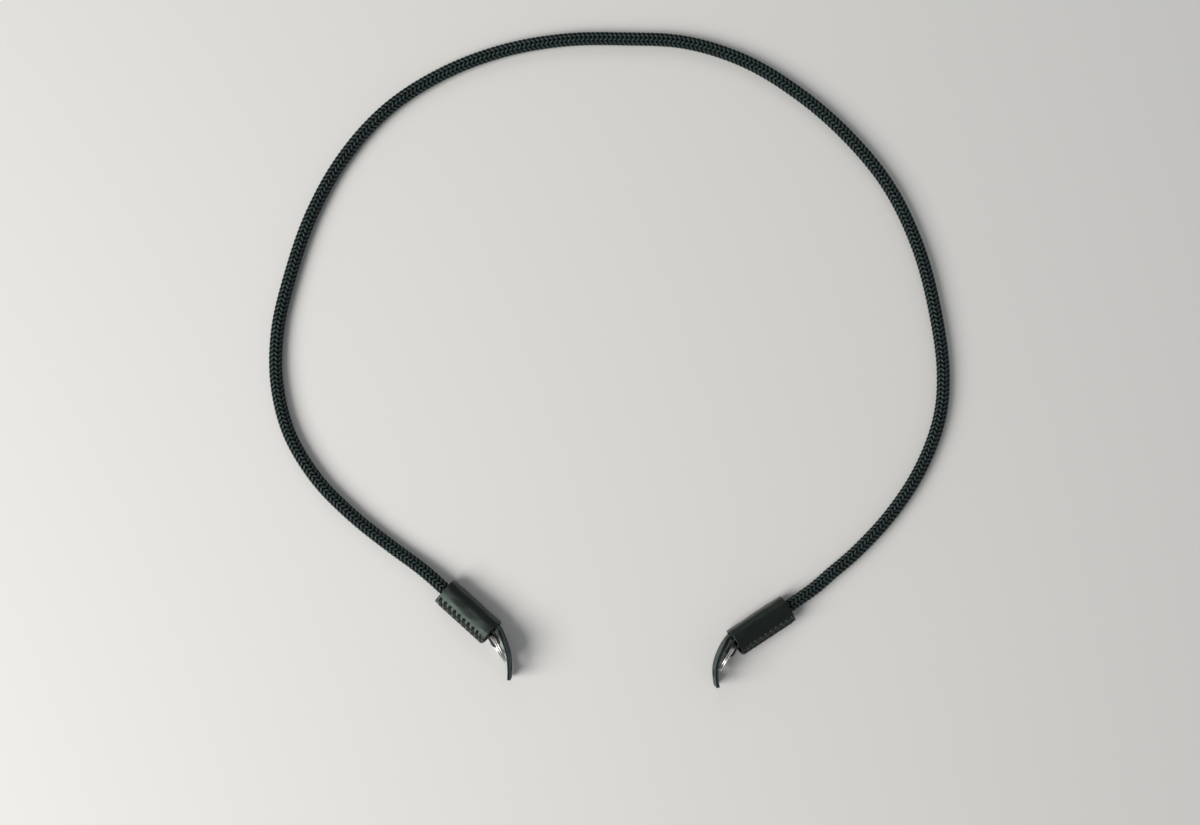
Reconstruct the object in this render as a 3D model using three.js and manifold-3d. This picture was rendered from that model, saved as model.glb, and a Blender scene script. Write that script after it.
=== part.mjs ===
// Camera strap: a braided rope that lies in one open loop between two leather ends.
// Each end is a sewn sleeve over the rope's end, a folded tab, a split ring and a guard tongue.
// Millimetres, +Z up. The origin is on the surface below the middle of the two ends.
import * as THREE from 'three';
import * as BufferGeometryUtils from 'three/addons/utils/BufferGeometryUtils.js';
import Module from 'manifold-3d';

const wasm = await Module();
wasm.setup();

// Driving dimensions
const FIT = 0.3;

const ROPE = { diameter: 8.5, sides: 10, tucked: 20, step: 17 };

const SLEEVE = { length: 41, wall: 1.4, corner: 5, headroom: 1.35, sideroom: 0.95, offset: 0.8 };
const SEAM = { gap: 0.6, angle: 35 };

const RING = { diameter: 20, wire: 1.7, turn: 1, between: 0.15, step: 14, inside: 0.6, lean: 13 };

const TAB = { thickness: 1.3, tail: 5, reach: 8.4, aside: 0.9, bend: 2.5, twistFrom: 10, twistTo: 3 };

const GUARD = { thickness: 2.2, height: 19, length: 34, tucked: 9, neck: 1, flare: 8, lean: 5 };
const SLOT = { width: 5, height: 9, endMargin: 6 };

// Smoothness of the round shapes
const CORNER_STEPS = 8;
const FOLD_STEPS = 10;
const LEG_STEPS = 14;
const GUARD_STEPS = 24;
const RING_STEPS = 72;

// Where the rope leaves each sleeve, in plan, the way that the sleeve points from there, and how far its tab and
// ring swing from that way towards the seam's side
const ENDS = [
  { name: 'left', inner: 1, exit: [-108.6, 26.7], heading: -41.5, swing: 21 },
  { name: 'right', inner: -1, exit: [109.8, 15.5], heading: -147.4, swing: 26 },
];

// How far the guard has turned towards the seam's side, in degrees, at shares of its free length
const GUARD_BEND = [
  { share: 0, left: 0, right: 0 },
  { share: 0.06, left: 22, right: 26 },
  { share: 0.2, left: 28, right: 28 },
  { share: 0.38, left: 29, right: 34 },
  { share: 0.56, left: 38, right: 43 },
  { share: 0.75, left: 46, right: 59 },
  { share: 0.92, left: 50, right: 67 },
  { share: 1, left: 51, right: 68 },
];

// The rope's route, from inside the left sleeve, round the loop, to inside the right sleeve
const ROUTE = [
  [-93.2, 14, 8.2], [-100.6, 20.6, 7.6], [-108.1, 27.3, 7], [-117.7, 35.7, 6], [-126.1, 42.3, 5.1],
  [-142.6, 54.2, 4.35], [-167.1, 73.7, 4.35], [-190.1, 97.2, 4.35], [-207.6, 126.2, 4.35],
  [-215.6, 158.7, 4.35], [-215.1, 191.7, 4.35], [-207.6, 224.7, 4.35], [-193.6, 265.2, 4.35],
  [-173.1, 301.7, 4.35], [-145.1, 332.7, 4.35], [-110.1, 355.2, 4.35], [-72.1, 369.7, 4.35],
  [-33.1, 376.7, 4.35], [5.9, 377.5, 4.35], [44.9, 375.2, 4.35], [82.9, 363.2, 4.35],
  [117.4, 342.2, 4.35], [148.4, 315.2, 4.35], [174.4, 283.2, 4.35], [192.9, 244.7, 4.35],
  [203.9, 203.2, 4.35], [208.9, 164.7, 4.35], [206.4, 135.7, 4.35], [194.4, 103.7, 4.35],
  [175.9, 75.2, 4.35], [153.4, 50.7, 4.35], [136.4, 36.1, 4.6], [127.1, 28.1, 5.2], [118.3, 22, 6.1],
  [109.4, 16.2, 7], [100.9, 10.8, 7.6], [92.5, 5.4, 8.2],
];

// Sizes that follow
const ropeRadius = ROPE.diameter / 2;
const legOffset = ropeRadius + FIT + TAB.thickness / 2;
const legOutside = SLEEVE.offset + legOffset + TAB.thickness / 2;
const innerHalfWidth = legOutside + SLEEVE.sideroom;
const innerHalfHeight = ropeRadius + SLEEVE.headroom;
const sleeveHalfWidth = innerHalfWidth + SLEEVE.wall;
const sleeveHalfHeight = innerHalfHeight + SLEEVE.wall;
const ringRadius = RING.diameter / 2;
const ringThickness = 2 * RING.turn + RING.between;
const jawOffset = ringThickness / 2 + FIT + TAB.thickness / 2;
const tabFold = TAB.reach - jawOffset - TAB.thickness / 2;

const lean = THREE.MathUtils.degToRad(RING.lean);

// The line that the tab and the ring follow, seen from above in a sleeve's own frame
function swingLine(end) {
  const swing = THREE.MathUtils.degToRad(end.swing);
  return {
    start: new THREE.Vector2(0, -TAB.aside),
    along: new THREE.Vector2(Math.cos(swing), -Math.sin(swing)),
    across: new THREE.Vector2(Math.sin(swing), Math.cos(swing)),
  };
}

function onLine(line, along, across) {
  return line.start.clone().addScaledVector(line.along, along).addScaledVector(line.across, across);
}

const ringCentre = (end) => onLine(swingLine(end), ringRadius - RING.inside, 0);

// The sleeve rises from the rope to its mouth, so that the ring below the mouth just meets the surface
function sleeveTilt(end) {
  const rise = SLEEVE.length + ringCentre(end).x;
  const ringDrop = ringRadius * Math.cos(lean) + (ringThickness / 2) * Math.sin(lean);
  return Math.asin(ringDrop / Math.hypot(sleeveHalfHeight, rise)) - Math.atan2(sleeveHalfHeight, rise);
}

// How tall a piece inside the sleeve can be, either way from its axis, where it comes this far aside
const halfRoomAt = (aside) => {
  const bend = SLEEVE.corner - SLEEVE.wall - FIT;
  const past = Math.max(0, aside - (innerHalfWidth - SLEEVE.corner + SLEEVE.wall));
  return innerHalfHeight - SLEEVE.corner + SLEEVE.wall + Math.sqrt(bend * bend - past * past);
};
const neckHalfHeight = halfRoomAt(legOutside);

// Geometry helpers
const smooth = (t) => THREE.MathUtils.smoothstep(t, 0, 1);

function tableValue(table, column, share) {
  const next = Math.max(1, table.findIndex((row) => row.share >= share));
  const low = table[next - 1];
  const high = table[next];
  return THREE.MathUtils.mapLinear(share, low.share, high.share, low[column], high[column]);
}

// A strip of even thickness along a line in plan, as a closed outline
function band(line, thickness) {
  const sideways = line.map((point, i) => {
    const before = line[Math.max(0, i - 1)];
    const after = line[Math.min(line.length - 1, i + 1)];
    const along = after.clone().sub(before).normalize();
    return new THREE.Vector2(-along.y, along.x).multiplyScalar(thickness / 2);
  });
  const leftSide = line.map((point, i) => point.clone().add(sideways[i]));
  const rightSide = line.map((point, i) => point.clone().sub(sideways[i]));
  return new THREE.Shape([...leftSide, ...rightSide.reverse()]);
}

// A prism on a plan outline, from -height / 2 to height / 2
function standing(outline, height) {
  const prism = new THREE.ExtrudeGeometry(outline, { depth: height, bevelEnabled: false });
  return prism.translate(0, 0, -height / 2);
}

function roundedRectangle(halfWidth, halfHeight, corner) {
  const outline = new THREE.Path();
  const w = halfWidth - corner;
  const h = halfHeight - corner;
  outline.absarc(w, h, corner, 0, Math.PI / 2, false);
  outline.absarc(-w, h, corner, Math.PI / 2, Math.PI, false);
  outline.absarc(-w, -h, corner, Math.PI, 1.5 * Math.PI, false);
  outline.absarc(w, -h, corner, 1.5 * Math.PI, 2 * Math.PI, false);
  outline.closePath();
  return outline.getPoints(CORNER_STEPS);
}

function toSolid(geometry) {
  const bare = geometry.clone();
  bare.deleteAttribute('normal');
  bare.deleteAttribute('uv');
  const merged = BufferGeometryUtils.mergeVertices(bare, 1e-4);
  return new wasm.Manifold(new wasm.Mesh({
    numProp: 3,
    vertProperties: Float32Array.from(merged.attributes.position.array),
    triVerts: Uint32Array.from(merged.index.array),
  }));
}

function toGeometry(solid) {
  const mesh = solid.getMesh();
  const geometry = new THREE.BufferGeometry();
  geometry.setAttribute('position', new THREE.BufferAttribute(mesh.vertProperties, 3));
  geometry.setIndex(new THREE.BufferAttribute(mesh.triVerts, 1));
  geometry.computeVertexNormals();
  return geometry;
}

// Pieces of one end, in the sleeve's own frame: x out of its mouth, from the mouth, z up.
// inner is 1 where the loop's inside is on the +y side, and -1 where it is on the -y side.

// The wrapped leather: a rounded tube with a slit where its two edges meet at the seam
function sleeveGeometry(inner) {
  const outline = new THREE.Shape(roundedRectangle(sleeveHalfWidth, sleeveHalfHeight, SLEEVE.corner));
  const hollow = roundedRectangle(innerHalfWidth, innerHalfHeight, SLEEVE.corner - SLEEVE.wall);
  outline.holes.push(new THREE.Path(hollow));
  const tube = new THREE.ExtrudeGeometry(outline, { depth: SLEEVE.length, bevelEnabled: false });
  tube.rotateX(Math.PI / 2).rotateZ(Math.PI / 2).translate(-SLEEVE.length, 0, 0);
  const slit = new THREE.BoxGeometry(2 * SLEEVE.length, 4 * SLEEVE.wall, SEAM.gap);
  slit.translate(0, -(SLEEVE.corner - SLEEVE.wall / 2), 0);
  slit.rotateX(-THREE.MathUtils.degToRad(SEAM.angle));
  slit.translate(0, -(sleeveHalfWidth - SLEEVE.corner), sleeveHalfHeight - SLEEVE.corner);
  if (inner < 0) slit.rotateZ(Math.PI);
  return toGeometry(toSolid(tube).subtract(toSolid(slit)));
}

// One leg's line in plan: beside the rope, then drawn in to the ring's side
function tabLeg(line, side) {
  const start = -SLEEVE.length + TAB.tail;
  const bendStart = -SLEEVE.length + ROPE.tucked;
  const besideRing = onLine(line, -TAB.bend, side * jawOffset);
  const points = [];
  for (let i = 0; i <= LEG_STEPS; i += 1) {
    const x = THREE.MathUtils.lerp(start, besideRing.x, i / LEG_STEPS);
    const drawnIn = smooth((x - bendStart) / (-GUARD.tucked - bendStart));
    const aside = THREE.MathUtils.lerp(SLEEVE.offset + side * legOffset, besideRing.y, drawnIn);
    points.push(new THREE.Vector2(x, aside));
  }
  points.push(onLine(line, tabFold / 2, side * jawOffset));
  return points;
}

// The folded strip: two legs and a round fold through the ring, twisted to the ring's lean
function tabGeometry(end) {
  const line = swingLine(end);
  const route = tabLeg(line, 1);
  for (let i = 0; i <= FOLD_STEPS; i += 1) {
    const angle = Math.PI / 2 - (Math.PI * i) / FOLD_STEPS;
    route.push(onLine(line, tabFold + jawOffset * Math.cos(angle), jawOffset * Math.sin(angle)));
  }
  route.push(...tabLeg(line, -1).reverse());
  const mirrored = route.map((point) => new THREE.Vector2(point.x, end.inner * point.y));
  const geometry = standing(band(mirrored, TAB.thickness), 2 * neckHalfHeight);
  const position = geometry.attributes.position;
  for (let i = 0; i < position.count; i += 1) {
    const plan = new THREE.Vector2(position.getX(i), end.inner * position.getY(i)).sub(line.start);
    const turn = lean * smooth((position.getX(i) + TAB.twistFrom) / (TAB.twistFrom - TAB.twistTo));
    const section = new THREE.Vector2(plan.dot(line.across), position.getZ(i));
    const turned = section.rotateAround(new THREE.Vector2(), -turn);
    const place = onLine(line, plan.dot(line.along), turned.x);
    position.setXYZ(i, place.x, end.inner * place.y, turned.y);
  }
  geometry.computeVertexNormals();
  return geometry;
}

// The split ring's coil, round the y axis: one flat turn, a short step, and a second turn beside the first
class SplitCoil extends THREE.Curve {
  getPoint(t) {
    const step = THREE.MathUtils.degToRad(RING.step);
    const angle = THREE.MathUtils.lerp(step, 4 * Math.PI - step, t);
    const stepped = smooth((angle - 2 * Math.PI + step) / (2 * step)) - 0.5;
    const aside = stepped * (RING.turn + RING.between);
    const radius = ringRadius - RING.wire / 2;
    return new THREE.Vector3(radius * Math.cos(angle), aside, radius * Math.sin(angle));
  }

  // The flat wire never rolls: one side of its section always looks along the ring's axis
  computeFrenetFrames(steps) {
    const frames = { tangents: [], normals: [], binormals: [] };
    for (let i = 0; i <= steps; i += 1) {
      const tangent = this.getTangentAt(i / steps);
      const normal = new THREE.Vector3(0, 1, 0).addScaledVector(tangent, -tangent.y).normalize();
      frames.tangents.push(tangent);
      frames.normals.push(normal);
      frames.binormals.push(new THREE.Vector3().crossVectors(tangent, normal));
    }
    return frames;
  }
}

function ringGeometry() {
  const wire = new THREE.Shape();
  wire.moveTo(-RING.turn / 2, -RING.wire / 2);
  wire.lineTo(RING.turn / 2, -RING.wire / 2);
  wire.lineTo(RING.turn / 2, RING.wire / 2);
  wire.lineTo(-RING.turn / 2, RING.wire / 2);
  const along = { steps: RING_STEPS, extrudePath: new SplitCoil(), bevelEnabled: false };
  return new THREE.ExtrudeGeometry(wire, along);
}

// The guard's line in plan, from its tucked end to its square tip
function guardLine(end) {
  const aside = legOutside - GUARD.thickness / 2;
  const line = [new THREE.Vector2(-GUARD.tucked, aside), new THREE.Vector2(-GUARD.tucked / 2, aside)];
  const pen = new THREE.Vector2(0, aside);
  line.push(pen.clone());
  const step = GUARD.length / GUARD_STEPS;
  for (let i = 0; i < GUARD_STEPS; i += 1) {
    const turned = tableValue(GUARD_BEND, end.name, (i + 0.5) / GUARD_STEPS);
    const heading = -THREE.MathUtils.degToRad(turned);
    pen.add(new THREE.Vector2(step * Math.cos(heading), step * Math.sin(heading)));
    line.push(pen.clone());
  }
  return line;
}

// The guard: a tall strip on its edge, narrow in the sleeve and flared past its mouth, with the lug's slot
function guardGeometry(end) {
  const line = guardLine(end);
  const plan = line.map((point) => new THREE.Vector2(point.x, end.inner * point.y));
  const strip = toSolid(standing(band(plan, GUARD.thickness), GUARD.height));

  const reach = GUARD.tucked + GUARD.length;
  const side = new THREE.Shape();
  side.moveTo(-reach, -neckHalfHeight);
  side.lineTo(GUARD.neck, -neckHalfHeight);
  side.bezierCurveTo(
    GUARD.neck + GUARD.flare / 2, -neckHalfHeight,
    GUARD.neck + GUARD.flare / 2, -GUARD.height / 2,
    GUARD.neck + GUARD.flare, -GUARD.height / 2 - FIT,
  );
  side.lineTo(reach, -GUARD.height / 2 - FIT);
  side.lineTo(reach, GUARD.height / 2 + FIT);
  side.lineTo(GUARD.neck + GUARD.flare, GUARD.height / 2 + FIT);
  side.bezierCurveTo(
    GUARD.neck + GUARD.flare / 2, GUARD.height / 2,
    GUARD.neck + GUARD.flare / 2, neckHalfHeight,
    GUARD.neck, neckHalfHeight,
  );
  side.lineTo(-reach, neckHalfHeight);
  const through = { depth: 2 * reach, bevelEnabled: false, curveSegments: CORNER_STEPS };
  const profile = new THREE.ExtrudeGeometry(side, through);
  profile.translate(0, 0, -reach).rotateX(Math.PI / 2);

  const slotAt = slotPlace(end, line);
  const slot = new THREE.Shape();
  const straight = (SLOT.height - SLOT.width) / 2;
  slot.absarc(0, straight, SLOT.width / 2, 0, Math.PI, false);
  slot.absarc(0, -straight, SLOT.width / 2, Math.PI, 2 * Math.PI, false);
  slot.closePath();
  const cutter = new THREE.ExtrudeGeometry(slot, through);
  cutter.translate(0, 0, -reach).rotateX(Math.PI / 2);
  cutter.rotateZ(slotAt.heading).translate(slotAt.x, slotAt.y, 0);
  const geometry = toGeometry(strip.intersect(toSolid(profile)).subtract(toSolid(cutter)));

  // Past the mouth the tongue leans with its top towards the loop's inside
  const position = geometry.attributes.position;
  const slant = end.inner * Math.tan(THREE.MathUtils.degToRad(GUARD.lean));
  for (let i = 0; i < position.count; i += 1) {
    const leaning = smooth(position.getX(i) / (GUARD.neck + GUARD.flare));
    position.setY(i, position.getY(i) + slant * leaning * position.getZ(i));
  }
  geometry.computeVertexNormals();
  return geometry;
}

// The slot's middle lies its margin and half its width back from the guard's tip
function slotPlace(end, line) {
  let left = SLOT.endMargin + SLOT.width / 2;
  let i = line.length - 1;
  while (line[i].distanceTo(line[i - 1]) < left) {
    left -= line[i].distanceTo(line[i - 1]);
    i -= 1;
  }
  const along = line[i].clone().sub(line[i - 1]).normalize();
  const place = line[i].clone().addScaledVector(along, -left);
  return { x: place.x, y: end.inner * place.y, heading: Math.atan2(end.inner * along.y, along.x) };
}

function ropeGeometry() {
  const points = ROUTE.map((point) => new THREE.Vector3(...point));
  const route = new THREE.CatmullRomCurve3(points, false, 'centripetal');
  const section = new THREE.Shape();
  for (let i = 0; i < ROPE.sides; i += 1) {
    const angle = (2 * Math.PI * i) / ROPE.sides;
    const x = ropeRadius * Math.cos(angle);
    const y = ropeRadius * Math.sin(angle);
    if (i === 0) section.moveTo(x, y);
    else section.lineTo(x, y);
  }
  return new THREE.ExtrudeGeometry(section, {
    steps: Math.round(route.getLength() / ROPE.step),
    extrudePath: route,
    bevelEnabled: false,
  });
}

// Finishes
const leather = { color: 0x1d2220, roughness: 0.55, metalness: 0 };
const looks = {
  rope: { color: 0x1e2324, roughness: 0.75, metalness: 0 },
  sleeve: leather,
  ring_tab: { color: 0x2c302f, roughness: 0.8, metalness: 0 },
  split_ring: { color: 0xcfcfcc, roughness: 0.22, metalness: 1 },
  guard: leather,
};

function piece(name, geometry, look) {
  const mesh = new THREE.Mesh(geometry, new THREE.MeshStandardMaterial(look));
  mesh.name = name;
  return mesh;
}

// One whole end, stood in the strap's frame
function strapEnd(end) {
  const group = new THREE.Group();
  const heading = THREE.MathUtils.degToRad(end.heading);
  const tilt = sleeveTilt(end);
  const outward = new THREE.Vector2(Math.cos(heading), Math.sin(heading));
  const mouth = new THREE.Vector2(...end.exit).addScaledVector(outward, SLEEVE.length * Math.cos(tilt));
  const mouthHeight = sleeveHalfHeight * Math.cos(tilt) + SLEEVE.length * Math.sin(tilt);
  group.position.set(mouth.x, mouth.y, mouthHeight);
  group.rotation.set(0, -tilt, heading, 'ZYX');

  group.add(piece(`sleeve_${end.name}`, sleeveGeometry(end.inner), looks.sleeve));
  group.add(piece(`ring_tab_${end.name}`, tabGeometry(end), looks.ring_tab));
  group.add(piece(`guard_${end.name}`, guardGeometry(end), looks.guard));

  const ring = piece(`split_ring_${end.name}`, ringGeometry(), looks.split_ring);
  const centre = ringCentre(end);
  ring.position.set(centre.x, end.inner * centre.y, 0);
  ring.rotation.set(-end.inner * lean, 0, -end.inner * THREE.MathUtils.degToRad(end.swing), 'ZYX');
  group.add(ring);
  return group;
}

const strap = new THREE.Group();
strap.add(piece('rope', ropeGeometry(), looks.rope));
ENDS.forEach((end) => strap.add(strapEnd(end)));

export default strap;
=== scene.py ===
"""A braided rope camera strap with hand-sewn leather ends, dressed over its frame. Lengths are in
millimetres until a mesh or a light is made, and then in metres."""

import bpy
import numpy as np
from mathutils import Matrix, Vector


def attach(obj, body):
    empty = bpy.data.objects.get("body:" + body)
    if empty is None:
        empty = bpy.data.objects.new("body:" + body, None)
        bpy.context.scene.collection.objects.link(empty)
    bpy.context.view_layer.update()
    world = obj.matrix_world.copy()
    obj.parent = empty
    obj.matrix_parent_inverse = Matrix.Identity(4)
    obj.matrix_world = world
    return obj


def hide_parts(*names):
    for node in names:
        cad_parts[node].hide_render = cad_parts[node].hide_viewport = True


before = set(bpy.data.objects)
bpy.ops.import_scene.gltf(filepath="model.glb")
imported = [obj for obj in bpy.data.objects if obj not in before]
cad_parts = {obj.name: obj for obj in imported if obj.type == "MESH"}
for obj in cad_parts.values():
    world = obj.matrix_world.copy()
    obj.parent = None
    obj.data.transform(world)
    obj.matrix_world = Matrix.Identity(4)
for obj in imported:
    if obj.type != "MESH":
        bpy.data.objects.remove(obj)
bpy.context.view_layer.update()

MM = 0.001

# The rope and its braid
ROPE_DIAMETER = 8.5
ROPE_TUCKED = 20
STRANDS_EACH_WAY = 10
BRAID_LAY = 29
STRAND_WIDTH = 1.42
STRAND_HEIGHT = 0.94
STRAND_SIDES = 8
STRAND_WAVE = 0.44
RINGS_PER_CROSSING = 3
CORE_RADIUS = 3.05
CORE_STEP = 3
CORE_SIDES = 20

# The sewn sleeve over each end of the rope
SLEEVE_LENGTH = 41
SLEEVE_HALF_WIDTH = 9
SLEEVE_HALF_HEIGHT = 7
SLEEVE_WALL = 1.4
SLEEVE_CORNER = (5, 5)
SEAM_CORNER = (9.5, 7.4)
SEAM_ANGLE = 35
MOUTH_CUT_BACK = 1.3
LIP = 0.5

# The seam: holes in two rows, and a thread that goes over from each hole to the next one in the other row
STITCH_PITCH = 3.91
STITCHES = 9
LAST_STITCH = -7.1
ROW_ASIDE = 3.6
LIP_GAP = 0.03
THREAD_DIAMETER = 0.8
THREAD_SIDES = 10
THREAD_PLIES = 3

# The leather's relief: its tongues between the stitches, and the dents of the thread, seam and holes
TONGUE_HEIGHT = 0.5
THREAD_DENT = 0.32
GROOVE_DEPTH = 0.4
HOLE_DEPTH = 0.6
HOLE_WIDTH = 0.52

# The sleeve's grid: fine round the seam, to this distance from it, and coarse over the rest
SEAM_REACH = 7.5
SEAM_STEP = 0.27
SLEEVE_STEP = 0.33
FAR_COLUMNS = 32

# The folded tab, the split ring and the guard
CENTRE_OFFSET = 0.8
LEG_OFFSET = 5.2
TAB_THICKNESS = 1.3
TAB_TAIL = 5
TAB_ASIDE = 0.9
TAB_BEND = 2.5
TAB_FOLD = 5.725
TAB_TWIST = (-10, -3)
JAW_OFFSET = 2.025
NECK_HALF_HEIGHT = 3.967
RING_RADIUS = 10
RING_INSIDE = 0.6
WIRE_TALL = 1.7
WIRE_WIDE = 1
WIRE_PITCH = 1.15
WIRE_STEP = 14
WIRE_RINGS = 260
WIRE_SIDES = 16
RING_LEAN = 13
GUARD_ASIDE = 5.55
GUARD_TUCKED = 9
GUARD_LENGTH = 34
GUARD_HALF_HEIGHT = 9.5
GUARD_NECK = 1
GUARD_FLARE = 8
GUARD_LEAN = 5
GUARD_CORNER = 0.9
PLY_THICKNESS = 1.04
PLY_OFFSET = 0.57
SLOT_HALF_WIDTH = 2.5
SLOT_HALF_HEIGHT = 4.5
SLOT_FROM_TIP = 8.5

# Each end: on which side of it the loop's inside is, its mouth's middle, the way it points, its rise from
# level, how far its ring swings aside, and how far its guard has turned at shares of its free length
ENDS = {
    "left": {
        "inner": 1, "mouth": (-77.948, -0.418, 9.457), "heading": -41.5, "rise": 3.453, "swing": 21,
        "turned": (0, 22, 28, 29, 38, 46, 50, 51),
    },
    "right": {
        "inner": -1, "mouth": (75.323, -6.549, 9.473), "heading": -147.4, "rise": 3.476, "swing": 26,
        "turned": (0, 26, 28, 34, 43, 59, 67, 68),
    },
}
TURN_SHARES = (0, 0.06, 0.2, 0.38, 0.56, 0.75, 0.92, 1)

# The rope's route, from inside the left sleeve, round the loop, to inside the right sleeve
ROUTE = [
    (-93.2, 14, 8.2), (-100.6, 20.6, 7.6), (-108.1, 27.3, 7), (-117.7, 35.7, 6), (-126.1, 42.3, 5.1),
    (-142.6, 54.2, 4.35), (-167.1, 73.7, 4.35), (-190.1, 97.2, 4.35), (-207.6, 126.2, 4.35),
    (-215.6, 158.7, 4.35), (-215.1, 191.7, 4.35), (-207.6, 224.7, 4.35), (-193.6, 265.2, 4.35),
    (-173.1, 301.7, 4.35), (-145.1, 332.7, 4.35), (-110.1, 355.2, 4.35), (-72.1, 369.7, 4.35),
    (-33.1, 376.7, 4.35), (5.9, 377.5, 4.35), (44.9, 375.2, 4.35), (82.9, 363.2, 4.35),
    (117.4, 342.2, 4.35), (148.4, 315.2, 4.35), (174.4, 283.2, 4.35), (192.9, 244.7, 4.35),
    (203.9, 203.2, 4.35), (208.9, 164.7, 4.35), (206.4, 135.7, 4.35), (194.4, 103.7, 4.35),
    (175.9, 75.2, 4.35), (153.4, 50.7, 4.35), (136.4, 36.1, 4.6), (127.1, 28.1, 5.2), (118.3, 22, 6.1),
    (109.4, 16.2, 7), (100.9, 10.8, 7.6), (92.5, 5.4, 8.2),
]


# Meshes from arrays
def unit(vectors):
    """Each vector divided by its length."""
    return vectors / np.linalg.norm(vectors, axis=-1, keepdims=True)


def distances(line):
    """How far along a line each of its points is: the sum of the steps up to it."""
    return np.concatenate([[0], np.cumsum(np.linalg.norm(np.diff(line, axis=0), axis=1))])


def signed_volume(vertices, faces):
    """Sum of the tetrahedra from the origin to each face's triangles: positive where faces point
    outwards."""
    total = 0.0
    for face in faces:
        corner = vertices[face]
        for k in range(1, face.shape[1] - 1):
            total += np.einsum("ij,ij->i", corner[:, 0], np.cross(corner[:, k], corner[:, k + 1])).sum()
    return total


def make_piece(name, vertices, faces, uv=None, values=None):
    """A smooth-shaded object whose mesh has these vertices, in millimetres, and these faces, given as
    arrays with a row of corner numbers for each face. Faces that point inwards are turned round."""
    vertices = np.asarray(vertices, float)
    if signed_volume(vertices - vertices.mean(axis=0), faces) < 0:
        faces = [face[:, ::-1] for face in faces]
    loops = np.concatenate([face.ravel() for face in faces]).astype(np.int32)
    sizes = np.concatenate([np.full(len(face), face.shape[1]) for face in faces])
    starts = np.concatenate([[0], np.cumsum(sizes)[:-1]]).astype(np.int32)
    mesh = bpy.data.meshes.new(name)
    mesh.vertices.add(len(vertices))
    mesh.vertices.foreach_set("co", (vertices * MM).astype(np.float32).ravel())
    mesh.loops.add(len(loops))
    mesh.loops.foreach_set("vertex_index", loops)
    mesh.polygons.add(len(sizes))
    mesh.polygons.foreach_set("loop_start", starts)
    mesh.update(calc_edges=True)
    mesh.polygons.foreach_set("use_smooth", np.ones(len(sizes), bool))
    if uv is not None:
        layer = mesh.uv_layers.new(name="surface")
        layer.data.foreach_set("uv", (np.asarray(uv)[loops] * MM).astype(np.float32).ravel())
    if values is not None:
        attribute = mesh.attributes.new("relief", "FLOAT", "POINT")
        attribute.data.foreach_set("value", np.asarray(values).astype(np.float32).ravel())
    mesh.validate()
    piece = bpy.data.objects.new(name, mesh)
    bpy.context.scene.collection.objects.link(piece)
    return piece


def make_joined(name, parts):
    """One object from several parts, each its vertices, faces, UV and relief values."""
    vertices, faces, uvs, values, first = [], [], [], [], 0
    for part_vertices, part_faces, part_uv, part_values in parts:
        vertices.append(part_vertices)
        faces += [face + first for face in part_faces]
        uvs.append(part_uv)
        values.append(part_values)
        first += len(part_vertices)
    return make_piece(name, np.vstack(vertices), faces, np.vstack(uvs), np.concatenate(values))


def grid_quads(index, wrapped=False):
    """Quads between the neighbours in a table of vertex numbers, whose last column may join its first."""
    if wrapped:
        index = np.hstack([index, index[:, :1]])
    corners = [index[:-1, :-1], index[:-1, 1:], index[1:, 1:], index[1:, :-1]]
    return np.stack(corners, -1).reshape(-1, 4)


def tube(rings):
    """A closed tube through rings of points, an array of rings by sides by 3, with a flat cap at each
    end."""
    count, sides = rings.shape[:2]
    index = np.arange(count * sides).reshape(count, sides)
    caps = np.stack([index[0, ::-1], index[-1]])
    return rings.reshape(-1, 3), [grid_quads(index, wrapped=True), caps]


def sheet(middle, outward, half, raised, uv, values, wrapped=False):
    """Both sides of a sheet: its middle surface moved by its half thickness along and against its outward
    way. The sides meet at the rim, where the half thickness is nothing. The outer side may be raised or
    pressed in."""
    rows, columns = half.shape
    over = middle + outward * (half + raised)[..., None]
    under = middle - outward * half[..., None]
    inside = np.s_[1:-1, :] if wrapped else np.s_[1:-1, 1:-1]
    index = np.arange(rows * columns).reshape(rows, columns)
    back = index.copy()
    back[inside] = rows * columns + np.arange(back[inside].size).reshape(back[inside].shape)
    vertices = np.vstack([over.reshape(-1, 3), under[inside].reshape(-1, 3)])
    faces = [grid_quads(index, wrapped), grid_quads(back, wrapped)[:, ::-1]]
    uvs = np.vstack([uv.reshape(-1, 2), uv[inside].reshape(-1, 2)])
    flat = np.full(back[inside].size, 0.5)
    return vertices, faces, uvs, np.concatenate([values.ravel(), flat])


def smooth(t):
    """Rises from 0 to 1 with level ends, by 3t squared less 2t cubed."""
    t = np.clip(t, 0, 1)
    return t * t * (3 - 2 * t)


def rim(depth, width=LIP):
    """Share of a sheet's half thickness at a depth in from its rim: a quarter of a superellipse, so that
    the rim is round."""
    power = 2.4
    return (1 - (1 - np.clip(depth / width, 0, 1)) ** power) ** (1 / power)


def fine_ends(first, last, step, width=LIP):
    """Values from first to last, a step apart, with a few more close to both ends for the rim's
    roundness."""
    close = np.array([0, 0.04, 0.14, 0.32, 0.6, 1]) * width
    count = max(2, int(round((last - first - 2 * width) / step)))
    middle = np.linspace(first + width, last - width, count + 1)[1:-1]
    return np.concatenate([first + close, middle, last - close[::-1]])


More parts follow.
